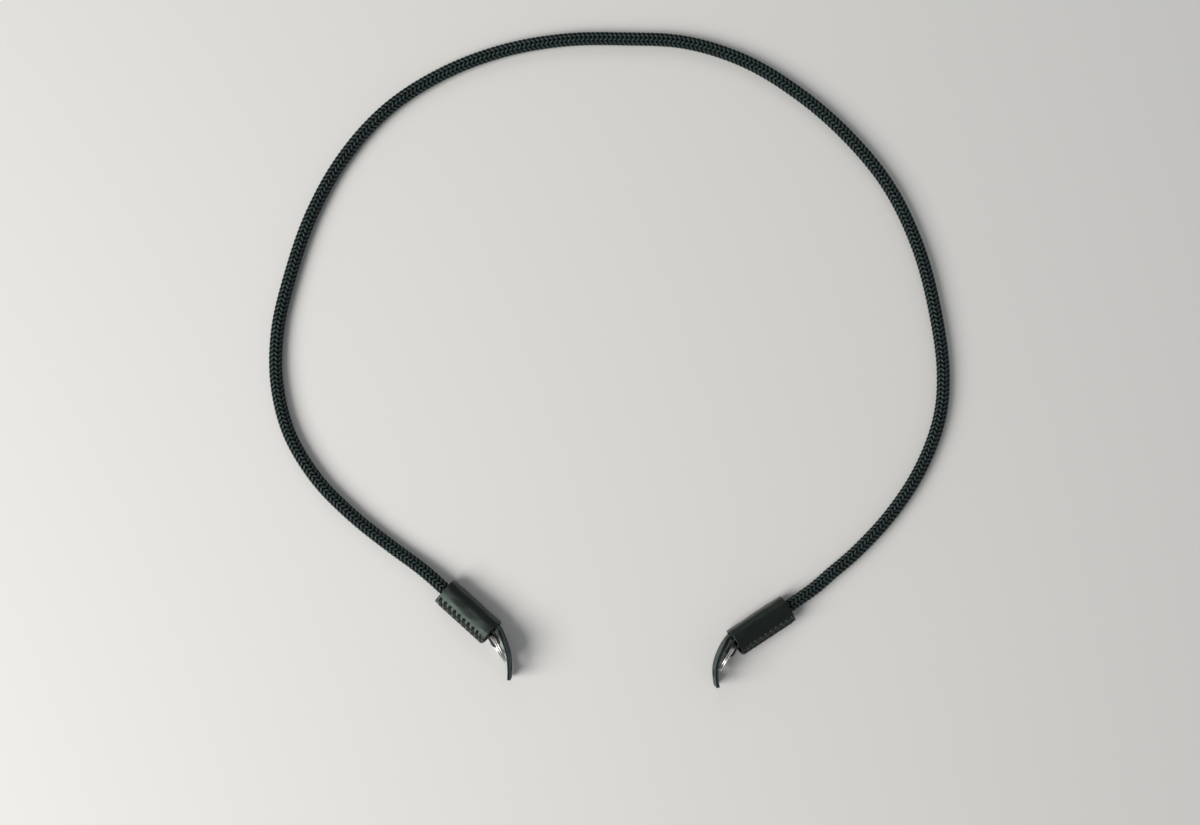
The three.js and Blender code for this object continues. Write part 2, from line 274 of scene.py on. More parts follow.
# The rope's line
def smooth_route(points, samples):
    """The centripetal Catmull-Rom curve through the points: each span is a cubic whose end tangents come
    from the neighbouring points, spaced by the square roots of the chords. It is sampled evenly by
    length."""
    points = np.asarray(points, float)
    padded = np.vstack([2 * points[0] - points[1], points, 2 * points[-1] - points[-2]])
    a, b, c, d = padded[:-3], padded[1:-2], padded[2:-1], padded[3:]
    ab, bc, cd = (np.sqrt(np.linalg.norm(q - p, axis=1))[:, None] for p, q in ((a, b), (b, c), (c, d)))
    start = ((b - a) / ab - (c - a) / (ab + bc) + (c - b) / bc) * bc
    finish = ((c - b) / bc - (d - b) / (bc + cd) + (d - c) / cd) * bc
    t = np.linspace(0, 1, 40, endpoint=False)[:, None, None]
    line = (
        (2 * t**3 - 3 * t**2 + 1) * b
        + (t**3 - 2 * t**2 + t) * start
        + (3 * t**2 - 2 * t**3) * c
        + (t**3 - t**2) * finish
    )
    line = np.vstack([line.transpose(1, 0, 2).reshape(-1, 3), points[-1]])
    along = distances(line)
    even = np.linspace(0, along[-1], samples)
    return np.stack([np.interp(even, along, line[:, axis]) for axis in range(3)], 1), along[-1]


ROUTE_SAMPLES = 4000
route_line, route_length = smooth_route(ROUTE, ROUTE_SAMPLES)


def route_frames(distance):
    """Place, direction, sideways and upward vectors of the rope's line at each distance along it."""
    even = np.linspace(0, route_length, ROUTE_SAMPLES)
    headings = np.gradient(route_line, even, axis=0)
    place, heading = (
        np.stack([np.interp(distance, even, table[:, axis]) for axis in range(3)], -1)
        for table in (route_line, headings)
    )
    along = unit(heading)
    aside = unit(np.cross(along, [0, 0, 1]))
    return place, along, aside, np.cross(aside, along)


# The camera and the rope come first
PHOTO_WIDTH = 1200
SENSOR = 36
FOCAL_PIXELS = 1249
CAMERA_PLACE = (-9.7, 139.6, 799.8)


def make_camera():
    """Looks straight down on the strap, from the height at which it fills the picture as in the photo."""
    data = bpy.data.cameras.new("camera")
    data.sensor_fit = "HORIZONTAL"
    data.sensor_width = SENSOR
    data.lens = SENSOR * FOCAL_PIXELS / PHOTO_WIDTH
    camera = bpy.data.objects.new("camera", data)
    camera.location = Vector(CAMERA_PLACE) * MM
    bpy.context.scene.collection.objects.link(camera)
    bpy.context.scene.camera = camera


def strand_section():
    """A flattened round: half widths and half heights of a strand's section, one row for each side."""
    angle = 2 * np.pi * (np.arange(STRAND_SIDES) + 0.5) / STRAND_SIDES
    return np.stack([np.cos(angle) * STRAND_WIDTH / 2, np.sin(angle) * STRAND_HEIGHT / 2], 1)


STRAND_RADIUS = ROPE_DIAMETER / 2 - STRAND_HEIGHT / 2 - STRAND_WAVE


def strand_points(turn_way, number):
    """One strand: a helix round the rope's line that goes over two strands of the other way and then under
    two. Its angle grows evenly with length. Its radius is the middle radius plus a flattened cosine wave,
    with a crest at every fourth crossing, and the strands of the other way have the opposite wave. Its
    relief value follows a clipped cosine, high on the crests and low where the strand dives under, and is a
    little higher on the strand's upper side: the material paints a highlight where it is high and shade
    where it is low."""
    flattening = 0.12
    crossings = 2 * STRANDS_EACH_WAY * route_length / BRAID_LAY
    distance = np.linspace(0, route_length, int(crossings * RINGS_PER_CROSSING))
    first_angle = 2 * np.pi * (number + turn_way / 4) / STRANDS_EACH_WAY
    angle = turn_way * 2 * np.pi * distance / BRAID_LAY + first_angle
    phase = STRANDS_EACH_WAY / 2 * angle
    wave = turn_way * (np.cos(phase) - flattening * np.cos(3 * phase)) / (1 - flattening)
    place, along, aside, upward = route_frames(distance)
    outward = np.cos(angle)[:, None] * aside + np.sin(angle)[:, None] * upward
    centre = place + (STRAND_RADIUS + STRAND_WAVE * wave)[:, None] * outward
    step = unit(np.gradient(centre, axis=0))
    across = unit(np.cross(step, outward))
    lift = np.cross(across, step)
    section = strand_section()
    points = (
        centre[:, None]
        + section[None, :, :1] * across[:, None]
        + section[None, :, 1:] * lift[:, None]
    )
    vertices, faces = tube(points)
    uv_spacing = 10
    uv_across = section[None, :, 0] + uv_spacing * number
    uv = np.stack(np.broadcast_arrays(distances(centre)[:, None], uv_across), -1)
    # Relief values: paler on the crests and on the strand's upper side, a painted highlight; darker where it
    # dives under, a painted shade
    proud = np.clip(1.3 * turn_way * np.cos(phase) - 0.4, -1, 0.9)
    crest = 0.5 + 0.4 * proud[:, None] + 0.14 * section[None, :, 1] / (STRAND_HEIGHT / 2)
    return vertices, faces, uv.reshape(-1, 2), crest.ravel()


def make_core():
    """The core under the strands: a round tube along the rope's line. Its relief values are all nought, so
    the material paints it all over in the painted shade colour that darkens the gaps between the strands.
    """
    distance = np.linspace(0, route_length, int(route_length / CORE_STEP))
    place, along, aside, upward = route_frames(distance)
    angle = 2 * np.pi * np.arange(CORE_SIDES) / CORE_SIDES
    ring = np.cos(angle)[None, :, None] * aside[:, None] + np.sin(angle)[None, :, None] * upward[:, None]
    vertices, faces = tube(place[:, None] + CORE_RADIUS * ring)
    # All relief values nought: the core takes the painted shade colour all over
    painted_shade_values = np.zeros(len(vertices))
    return make_piece("rope_core", vertices, faces, np.zeros((len(vertices), 2)), painted_shade_values), place


make_camera()
core, core_line = make_core()
strands = []
for group in range(STRANDS_EACH_WAY // 2):
    members = [(way, number) for way in (1, -1) for number in (group, group + STRANDS_EACH_WAY // 2)]
    parts = [strand_points(way, number) for way, number in members]
    strands.append(make_joined(f"rope_strands_{group + 1}", parts))


# The ends, worked out in each end's own frame: x out of the sleeve's mouth, from the mouth, y towards the
# loop's inside, and z up
def stand_end(points, end):
    """Turns points from an end's own frame into the strap's: mirrored where the loop's inside is on the
    other side, raised by the sleeve's rise, turned to its heading and moved to its mouth."""
    x, y, z = points[..., 0], end["inner"] * points[..., 1], points[..., 2]
    rise, heading = np.radians(end["rise"]), np.radians(end["heading"])
    out = x * np.cos(rise) - z * np.sin(rise)
    up = x * np.sin(rise) + z * np.cos(rise)
    turned = [out * np.cos(heading) - y * np.sin(heading), out * np.sin(heading) + y * np.cos(heading), up]
    return np.stack(turned, -1) + np.array(end["mouth"])


def swing_line(end):
    """The line that the tab and ring follow in plan: its start, and its unit vectors along and across."""
    swing = np.radians(end["swing"])
    along = np.array([np.cos(swing), -np.sin(swing)])
    return np.array([0, -TAB_ASIDE]), along, np.array([np.sin(swing), np.cos(swing)])


def wall_table():
    """The middle of the sleeve's wall in section, from the seam over the top and right round to the seam
    again: quarters of ellipses joined by straight runs, moved in by half the wall's thickness, with the
    outward angle, and the distance from the seam's upper lip."""
    turns = [
        (-1, 1, SEAM_CORNER, 180 - SEAM_ANGLE, 90),
        (1, 1, SLEEVE_CORNER, 90, 0),
        (1, -1, SLEEVE_CORNER, 0, -90),
        (-1, -1, SLEEVE_CORNER, -90, -180),
        (-1, 1, SEAM_CORNER, -180, -180 - SEAM_ANGLE),
    ]
    rows = []
    for side, top, (wide, tall), first, last in turns:
        turn = np.radians(np.linspace(first, last, 60))
        y = side * (SLEEVE_HALF_WIDTH - wide) + wide * np.cos(turn)
        z = top * (SLEEVE_HALF_HEIGHT - tall) + tall * np.sin(turn)
        rows.append(np.stack([y, z, np.arctan2(np.sin(turn) / tall, np.cos(turn) / wide)], 1))
    table = np.vstack(rows)
    table[:, 2] = np.unwrap(table[:, 2])
    table[:, 0] -= SLEEVE_WALL / 2 * np.cos(table[:, 2])
    table[:, 1] -= SLEEVE_WALL / 2 * np.sin(table[:, 2])
    return table, distances(table[:, :2])


wall, wall_distance = wall_table()
WALL_ROUND = wall_distance[-1]


def wall_place(x, distance, offset):
    """A place on the sleeve: at x along it, at a distance round its wall from the seam's upper lip, and
    offset out from the wall's middle. Its top is cut a little back at the mouth, fading out along the
    sleeve."""
    faded_at = 12
    y, z, angle = (np.interp(distance % WALL_ROUND, wall_distance, wall[:, k]) for k in range(3))
    y = y + offset * np.cos(angle)
    z = z + offset * np.sin(angle)
    height = (z + SLEEVE_HALF_HEIGHT) / (2 * SLEEVE_HALF_HEIGHT)
    back = MOUTH_CUT_BACK * smooth(1 + x / faded_at) * smooth(height)
    return np.stack([x - back, y, z], -1)


def seam_relief(x, aside):
    """How far the leather stands proud or is pressed in round the seam, at x and at a distance aside from
    it. Each stitch is counted along the seam with the thread's slant taken off. The threads press a line
    each and the seam is a groove, both bell curves. The leather swells between the threads by a sine's half
    wave that fades in from the seam and out past the holes, and each hole is a small bell-shaped dimple."""
    slant = 0.88
    dent_width, groove_width = 0.5, 0.7
    across = aside / ROW_ASIDE
    along = (x - LAST_STITCH) / STITCH_PITCH
    count = along - (1 - across) / 2
    sewn = smooth((count + STITCHES) / 0.6) * smooth((1.1 - count) / 0.6)
    between = count - np.floor(count)
    reach = np.abs(across)
    tongue = np.sin(np.pi * between) ** 0.9 * smooth(reach / 0.3) * (1 - smooth((reach - 0.62) / 0.6))
    from_thread = np.minimum(between, 1 - between) * STITCH_PITCH * slant
    pressed = np.exp(-((from_thread / dent_width) ** 2)) * (1 - smooth((reach - 0.9) / 0.25))
    groove = np.exp(-((aside / groove_width) ** 2))
    nearest = np.clip(np.round(along + np.minimum(0, np.sign(across))), 1 - STITCHES, 0)
    hole_x = LAST_STITCH + STITCH_PITCH * (nearest + np.where(across < 0, 1, 0))
    from_hole = np.hypot(x - hole_x, np.abs(aside) - ROW_ASIDE)
    hole = np.exp(-((from_hole / HOLE_WIDTH) ** 2))
    swollen = sewn * (TONGUE_HEIGHT * tongue - THREAD_DENT * pressed)
    return swollen - GROOVE_DEPTH * groove - HOLE_DEPTH * hole, hole


def make_sleeve(name, end):
    """The wrapped leather: a sheet carried round its section from lip to lip and along its length, with the
    seam's relief on its outside, and low waves, two crossed sines, over the rest."""
    x = fine_ends(-SLEEVE_LENGTH, 0, SLEEVE_STEP)
    near = fine_ends(LIP_GAP, SEAM_REACH, SEAM_STEP)[:-5]
    far = np.linspace(SEAM_REACH, WALL_ROUND - SEAM_REACH, FAR_COLUMNS)[1:-1]
    distance = np.concatenate([near, far, WALL_ROUND - near[::-1]])
    x, distance = np.meshgrid(x, distance, indexing="ij")
    aside = np.where(distance < WALL_ROUND / 2, distance, distance - WALL_ROUND)
    edge = rim(x + SLEEVE_LENGTH) * rim(-x)
    lips = rim(np.abs(aside) - LIP_GAP, 0.6)
    half = SLEEVE_WALL / 2 * edge * lips
    relief, hole = seam_relief(x, aside)
    near_seam = 1 - smooth((np.abs(aside) - 5) / 2)
    waves = 0.09 * np.sin(x * 0.23 + distance * 0.31) + 0.06 * np.sin(x * 0.51 - distance * 0.67 + 1.3)
    raised = edge * (relief * near_seam * lips + waves * (1 - near_seam))
    middle = wall_place(x, distance, 0)
    outward = wall_place(x, distance, 1) - middle
    outward[..., 0] = 0
    # Relief values for the colour: paler on the tongues and rims, partly wear and partly a painted
    # highlight; darker in the groove, the thread's dents and the holes, a painted shade
    wear_and_painted_light = 0.5 + 0.45 * np.clip(relief * near_seam * 2, -1, 1) + 0.4 * (1 - edge)
    wear_and_painted_light = np.clip(wear_and_painted_light - 0.5 * hole * near_seam, 0, 1)
    uv = np.stack([x, distance], -1)
    vertices, faces, uvs, values = sheet(middle, outward, half, raised, uv, wear_and_painted_light)
    return make_piece(name, stand_end(vertices, end), faces, uvs, values)


def frame_tube(line, radius, sides, up):
    """A round tube along a line of points, its sections turned by the up way."""
    step = unit(np.gradient(line, axis=0))
    across = unit(np.cross(step, up))
    lift = np.cross(across, step)
    angle = 2 * np.pi * np.arange(sides) / sides
    ring = np.cos(angle)[None, :, None] * across[:, None] + np.sin(angle)[None, :, None] * lift[:, None]
    return tube(line[:, None] + radius * ring)


def make_thread(name, end):
    """The seam's thread: each stitch comes up out of a hole in the upper row, slants over the seam and goes
    down into the next hole of the lower row. It lies on the leather's relief and dips at both holes."""
    over_leather, deepest_dent, dip = 0.3, 0.35, 1.5
    share = np.linspace(-0.1, 1.1, 26)
    parts = []
    for number in range(STITCHES):
        x = LAST_STITCH + STITCH_PITCH * (share - number)
        aside = ROW_ASIDE * (1 - 2 * share)
        relief, _ = seam_relief(x, aside)
        down = smooth((np.abs(share - 0.5) - 0.4) / 0.18)
        offset = SLEEVE_WALL / 2 + np.maximum(relief, -deepest_dent) + over_leather - dip * down
        line = wall_place(x, aside, offset)
        outward = wall_place(x, aside, offset + 1) - line
        vertices, faces = frame_tube(line, THREAD_DIAMETER / 2, THREAD_SIDES, outward)
        round_it = np.arange(THREAD_SIDES) * np.pi * THREAD_DIAMETER / THREAD_SIDES
        uv = np.stack(np.broadcast_arrays(distances(line)[:, None], round_it[None]), -1).reshape(-1, 2)
        parts.append((stand_end(vertices, end), faces, uv, np.full(len(vertices), 0.5)))
    return make_joined(name, parts)


def guard_place(distance, offset, z, end):
    """A place on the guard: at a distance along its line from the mouth, offset aside from the line, and at
    height z. The line is straight in the sleeve and then turns by the end's table. The tongue leans more
    and more past the mouth, so that its top is nearer the loop's inside."""
    fine = np.linspace(0, GUARD_LENGTH, 400)
    heading = -np.radians(np.interp(fine / GUARD_LENGTH, TURN_SHARES, end["turned"]))
    step = fine[1]
    line_x = np.concatenate([[0], np.cumsum(np.cos(heading[:-1]) * step)])
    line_y = np.concatenate([[0], np.cumsum(np.sin(heading[:-1]) * step)])
    turned = np.where(distance < 0, 0, np.interp(distance, fine, heading))
    x = np.interp(distance, fine, line_x) + np.minimum(distance, 0) - offset * np.sin(turned)
    y = GUARD_ASIDE + np.interp(distance, fine, line_y) + offset * np.cos(turned)
    y = y + np.tan(np.radians(GUARD_LEAN)) * smooth(x / (GUARD_NECK + GUARD_FLARE)) * z
    return np.stack([x, y, z], -1)


def guard_outline():
    """The guard's side outline as distances and heights: a square tip with small round corners, level
    edges, and an S-shaped flare down to the narrow tail in the sleeve. It goes round from the middle of the
    tip."""
    corner = GUARD_CORNER
    angle = np.linspace(0, np.pi / 2, 7)
    t = np.linspace(0, 1, 14)
    flare = GUARD_NECK + GUARD_FLARE * (1 - t)
    fall = NECK_HALF_HEIGHT + (GUARD_HALF_HEIGHT - NECK_HALF_HEIGHT) * (1 - smooth(t))
    tip = GUARD_LENGTH - corner
    top = np.vstack([
        np.stack([np.full(9, GUARD_LENGTH), np.linspace(0, GUARD_HALF_HEIGHT - corner, 9)], 1),
        np.stack([tip + corner * np.cos(angle), GUARD_HALF_HEIGHT - corner + corner * np.sin(angle)], 1)[1:],
        np.stack([np.linspace(tip, GUARD_NECK + GUARD_FLARE, 26), np.full(26, GUARD_HALF_HEIGHT)], 1)[1:],
        np.stack([flare, fall], 1)[1:],
        np.stack([np.linspace(GUARD_NECK, -GUARD_TUCKED, 9), np.full(9, NECK_HALF_HEIGHT)], 1)[1:],
        np.stack([np.full(4, -GUARD_TUCKED), np.linspace(NECK_HALF_HEIGHT, 0, 4)], 1)[1:],
    ])
    return np.vstack([top, top[-2:0:-1] * (1, -1)])


def slot_radius(angle):
    """Distance from the slot's middle to its edge, for a straight-sided slot with half-round ends: to the
    side, its half width over the cosine, and past the straight part, to where the ray meets the circle."""
    straight = SLOT_HALF_HEIGHT - SLOT_HALF_WIDTH
    cosine, sine = np.abs(np.cos(angle)), np.abs(np.sin(angle))
    side = SLOT_HALF_WIDTH / np.maximum(cosine, 1e-6)
    end = straight * sine + np.sqrt(np.maximum(SLOT_HALF_WIDTH**2 - (straight * cosine) ** 2, 0))
    return np.where(side * sine < straight, side, end)


def from_outline(points, outline):
    """Least distance from each point to a closed outline: to the foot of its plumb line on each edge, kept
    between the edge's ends."""
    first = outline
    run = np.roll(outline, -1, axis=0) - first
    gap = points[..., None, :] - first
    share = np.clip((gap * run).sum(-1) / (run * run).sum(-1), 0, 1)
    return np.linalg.norm(gap - share[..., None] * run, axis=-1).min(-1)


def make_guard(name, end):
    """The two plies: each a sheet on a grid of rings between the slot's edge and the outline, bent along
    the guard's line, with rounded rims that leave a fine groove between the plies."""
    outline = guard_outline()
    middle = np.array([GUARD_LENGTH - SLOT_FROM_TIP, 0])
    ray = outline - middle
    angle = np.arctan2(ray[:, 1], ray[:, 0])
    slot = middle + slot_radius(angle)[:, None] * unit(ray)
    close = np.array([0, 0.006, 0.02, 0.05, 0.09])
    share = np.concatenate([close, np.linspace(0.14, 0.86, 16), 1 - close[::-1]])[:, None, None]
    flat = slot * (1 - share) + outline * share
    depth = np.minimum(from_outline(flat, outline), from_outline(flat, slot))
    depth[[0, -1]] = 0
    edge = rim(depth, 0.42)
    parts = []
    for side in (-1, 1):
        place = guard_place(flat[..., 0], side * PLY_OFFSET, flat[..., 1], end)
        outward = guard_place(flat[..., 0], side * (PLY_OFFSET + 1), flat[..., 1], end) - place
        ripple = 0.05 * np.sin(flat[..., 0] * 0.5 + side) * np.sin(flat[..., 1] * 0.4 + 0.7) * edge
        # Paler towards the ply edges, partly wear and partly a painted highlight
        wear_and_painted_light = 0.5 + 0.45 * (1 - smooth(depth / 0.8))
        built = sheet(place, outward, PLY_THICKNESS / 2 * edge, ripple, flat, wear_and_painted_light, wrapped=True)
        parts.append((stand_end(built[0], end), *built[1:]))
    return make_joined(name, parts)


def make_tab(name, end):
    """The folded strip: two legs beside the rope, drawn in to the ring's sides and joined by a half-round
    fold through the ring. Past the bend it is twisted to the ring's lean, about the swing line."""
    start, along, across = swing_line(end)

    def on_line(run, aside):
        return start + run * along + aside * across

    legs = {}
    for side in (1, -1):
        beside = on_line(-TAB_BEND, side * JAW_OFFSET)
        x = np.linspace(TAB_TAIL - SLEEVE_LENGTH, beside[0], 60)
        drawn = smooth((x + SLEEVE_LENGTH - ROPE_TUCKED) / (SLEEVE_LENGTH - ROPE_TUCKED - GUARD_TUCKED))
        y = (CENTRE_OFFSET + side * LEG_OFFSET) * (1 - drawn) + beside[1] * drawn
        legs[side] = np.vstack([np.stack([x, y], 1), on_line(TAB_FOLD / 2, side * JAW_OFFSET)])
    angle = np.linspace(np.pi / 2, -np.pi / 2, 24)
    fold = on_line(0, 0) + (TAB_FOLD + JAW_OFFSET * np.cos(angle))[:, None] * along
    fold = fold + (JAW_OFFSET * np.sin(angle))[:, None] * across
    line = np.vstack([legs[1], fold, legs[-1][::-1]])
    run = distances(line)
    distance = fine_ends(0, run[-1], 0.45)
    height = fine_ends(-NECK_HALF_HEIGHT, NECK_HALF_HEIGHT, 0.5)
    plan = np.stack([np.interp(distance, run, line[:, k]) for k in range(2)], 1)
    way = unit(np.gradient(plan, distance, axis=0))
    sideways = np.stack([-way[:, 1], way[:, 0]], 1)
    shape = (len(distance), len(height))

    def twisted(offset):
        flat = np.broadcast_to((plan + offset * sideways)[:, None], (*shape, 2)) - start
        z = np.broadcast_to(height[None], shape)
        x = flat[..., 0]
        turn = np.radians(RING_LEAN) * smooth((x - TAB_TWIST[0]) / (TAB_TWIST[1] - TAB_TWIST[0]))
        out, aside = flat @ along, flat @ across
        turned = aside * np.cos(turn) + z * np.sin(turn)
        place = start + out[..., None] * along + turned[..., None] * across
        return np.dstack([place, -aside * np.sin(turn) + z * np.cos(turn)])

    middle = twisted(0)
    outward = twisted(1) - middle
    edge = rim(distance)[:, None] * rim(run[-1] - distance)[:, None]
    edge = edge * rim(height + NECK_HALF_HEIGHT)[None] * rim(NECK_HALF_HEIGHT - height)[None]
    uv = np.stack(np.broadcast_arrays(distance[:, None], height[None]), -1)
    wear_and_painted_light = 0.5 + 0.4 * (1 - edge)
    built = sheet(middle, outward, TAB_THICKNESS / 2 * edge, np.zeros(shape), uv, wear_and_painted_light)
    return make_piece(name, stand_end(built[0], end), *built[1:])


def make_ring(name, end):
    """The split ring: a flattened wire wound two turns round the ring's axis. Its path is a circle that
    steps aside by a wire's pitch half way, its section is an ellipse, and its ends taper a little."""
    step = np.radians(WIRE_STEP)
    angle = np.linspace(step, 4 * np.pi - step, WIRE_RINGS)
    aside = (smooth((angle - 2 * np.pi + step) / (2 * step)) - 0.5) * WIRE_PITCH
    turn = np.linspace(0, 2 * np.pi, WIRE_SIDES, endpoint=False)
    wide = WIRE_WIDE / 2 * np.cos(turn)
    tall = WIRE_TALL / 2 * np.sin(turn)
    ends = np.minimum(angle - angle[0], angle[-1] - angle) * RING_RADIUS
    taper = 0.7 + 0.3 * rim(ends, 0.6)
    radius = RING_RADIUS - WIRE_TALL / 2 + taper[:, None] * tall[None]
    x = radius * np.cos(angle)[:, None]
    y = end["inner"] * aside[:, None] + taper[:, None] * wide[None]
    z = radius * np.sin(angle)[:, None]
    lean, swing = np.radians(RING_LEAN), np.radians(end["swing"])
    y, z = y * np.cos(lean) + z * np.sin(lean), -y * np.sin(lean) + z * np.cos(lean)
    x, y = x * np.cos(swing) + y * np.sin(swing), -x * np.sin(swing) + y * np.cos(swing)
    start, along, across = swing_line(end)
    centre = start + (RING_RADIUS - RING_INSIDE) * along
    vertices, faces = tube(np.stack([x + centre[0], y + centre[1], z], -1))
    uv = np.stack(np.broadcast_arrays(RING_RADIUS * angle[:, None], 2 * turn[None]), -1).reshape(-1, 2)
    return make_piece(name, stand_end(vertices, end), faces, uv, np.full(len(vertices), 0.5))


# Materials
def new_material(name):
    """A node material with its node tree and its one Principled shader."""
    material = bpy.data.materials.new(name)
    material.use_nodes = True
    return material, material.node_tree, material.node_tree.nodes["Principled BSDF"]


def add_node(tree, kind, inputs=(), **settings):
    """A node with its settings, and with each input a value or the output socket that feeds it."""
    node = tree.nodes.new(kind)
    for name, value in settings.items():
        setattr(node, name, value)
    for key, value in dict(inputs).items():
        if isinstance(value, bpy.types.NodeSocket):
            tree.links.new(value, node.inputs[key])
        else:
            node.inputs[key].default_value = value
    return node


def maths(tree, operation, first, second=0.0):
    return add_node(tree, "ShaderNodeMath", {0: first, 1: second}, operation=operation).outputs[0]


def mixed(tree, factor, first, second, blend="MIX"):
    """A colour between two, by a factor."""
    inputs = {"Factor": factor, 6: first, 7: second}
    return add_node(tree, "ShaderNodeMix", inputs, data_type="RGBA", blend_type=blend).outputs[2]


def shaded(tree, paint, shade):
    """A colour multiplied by a value."""
    return mixed(tree, 1.0, paint, shade, blend="MULTIPLY")


def ranged(tree, value, low, high):
    """A value from 0 to 1 spread between two others."""
    return add_node(tree, "ShaderNodeMapRange", {0: value, 3: low, 4: high}).outputs[0]


def surface_uv(tree):
    """The piece's own UV, in metres along and across its surface."""
    return add_node(tree, "ShaderNodeUVMap", uv_map="surface").outputs[0]


def streaks(tree, along, across, detail):
    """Noise drawn out along the surface's first direction, with so many cells per metre each way."""
    spread = add_node(tree, "ShaderNodeMapping", {"Vector": surface_uv(tree), "Scale": (along, across, 1.0)})
    inputs = {"Vector": spread.outputs[0], "Scale": 1.0, "Detail": detail}
    return add_node(tree, "ShaderNodeTexNoise", inputs).outputs[0]


def new_group(name, inputs, outputs):
    """A shader node group with named inputs and outputs, given as name to kind and default value."""
    group = bpy.data.node_groups.new(name, "ShaderNodeTree")
    for label, (kind, value) in inputs.items():
        socket = group.interface.new_socket(label, in_out="INPUT", socket_type=f"NodeSocket{kind}")
        socket.default_value = value
    for label, kind in outputs.items():
        group.interface.new_socket(label, in_out="OUTPUT", socket_type=f"NodeSocket{kind}")
    return group, group.nodes.new("NodeGroupInput"), group.nodes.new("NodeGroupOutput")


def colour(red, green, blue):
    return (red, green, blue, 1)


def grain_group():
    """Leather grain: rounded cells with fine valleys between them and smaller pores inside, from a warped
    cell pattern and noise in Object coordinates."""
    inputs = {"Cells per metre": ("Float", 1500.0), "Pore strength": ("Float", 0.35)}
    group, start, finish = new_group("leather_grain", inputs, {"Height": "Float", "Valleys": "Float"})
    where = add_node(group, "ShaderNodeTexCoord").outputs["Object"]
    warp = add_node(group, "ShaderNodeTexNoise", {"Vector": where, "Scale": 700.0, "Detail": 2.0})
    pushed = {0: warp.outputs["Color"], "Scale": 0.0004}
    shift = add_node(group, "ShaderNodeVectorMath", pushed, operation="SCALE")
    moved = add_node(group, "ShaderNodeVectorMath", {0: where, 1: shift.outputs[0]})
    cells = add_node(
        group, "ShaderNodeTexVoronoi",
        {"Vector": moved.outputs[0], "Scale": start.outputs["Cells per metre"]},
        feature="DISTANCE_TO_EDGE",
    )
    valleys = maths(group, "SMOOTH_MIN", maths(group, "MULTIPLY", cells.outputs["Distance"], 3.2), 1.0)
    pores = add_node(group, "ShaderNodeTexNoise", {"Vector": where, "Scale": 5200.0, "Detail": 3.0})
    pits = maths(group, "MULTIPLY", pores.outputs[0], start.outputs["Pore strength"])
    group.links.new(maths(group, "ADD", valleys, pits), finish.inputs["Height"])
    group.links.new(valleys, finish.inputs["Valleys"])
    return group


def wear_and_painted_light_group():
    """Colour from the piece's own relief value: raised places and edges go towards the wear-and-highlight
    colour, partly wear and partly a painted highlight, broken up by noise, and low places, creases and
    holes, go towards the painted shade colour."""
    inputs = {
        "Base": ("Color", colour(0, 0, 0)), "Worn": ("Color", colour(0, 0, 0)),
        "Crease": ("Color", colour(0, 0, 0)), "Break-up per metre": ("Float", 900.0),
    }
    group, start, finish = new_group("edge_wear_and_painted_light", inputs, {"Color": "Color", "Worn share": "Float"})
    relief = add_node(group, "ShaderNodeAttribute", attribute_name="relief").outputs["Fac"]
    where = add_node(group, "ShaderNodeTexCoord").outputs["Object"]
    noise = add_node(
        group, "ShaderNodeTexNoise",
        {"Vector": where, "Scale": start.outputs["Break-up per metre"], "Detail": 4.0, "Roughness": 0.65},
    )
    raised = add_node(group, "ShaderNodeMapRange", {0: relief, 1: 0.52, 2: 1.0})
    broken = add_node(group, "ShaderNodeMapRange", {0: noise.outputs[0], 1: 0.3, 2: 0.7, 3: 0.35, 4: 1.0})
    wear_and_painted_light = maths(group, "MULTIPLY", raised.outputs[0], broken.outputs[0])
    # Low relief values, in creases and holes and where strands dive under, take the painted shade colour
    low = add_node(group, "ShaderNodeMapRange", {0: relief, 1: 0.5, 2: 0.1})
    lit = mixed(group, wear_and_painted_light, start.outputs["Base"], start.outputs["Worn"])
    group.links.new(mixed(group, low.outputs[0], lit, start.outputs["Crease"]), finish.inputs["Color"])
    group.links.new(wear_and_painted_light, finish.inputs["Worn share"])
    return group


def mottle_group():
    """Slow changes over a surface: a value about one half, from soft noise in Object coordinates."""
    inputs = {"Patches per metre": ("Float", 60.0)}
    group, start, finish = new_group("soft_mottle", inputs, {"Value": "Float"})
    where = add_node(group, "ShaderNodeTexCoord").outputs["Object"]
    inputs = {"Vector": where, "Scale": start.outputs["Patches per metre"], "Detail": 4.0, "Roughness": 0.55}
    noise = add_node(group, "ShaderNodeTexNoise", inputs)
    group.links.new(noise.outputs[0], finish.inputs["Value"])
    return group


grain = grain_group()
wear_and_painted_light_nodes = wear_and_painted_light_group()
mottle = mottle_group()


def add_group(tree, group, **inputs):
    node = tree.nodes.new("ShaderNodeGroup")
    node.node_tree = group
    for label, value in inputs.items():
        node.inputs[label.replace("_", " ")].default_value = value
    return node


def set_bump(tree, shader, height, strength, distance):
    bump = add_node(tree, "ShaderNodeBump", {"Height": height, "Strength": strength, "Distance": distance})
    tree.links.new(bump.outputs[0], shader.inputs["Normal"])


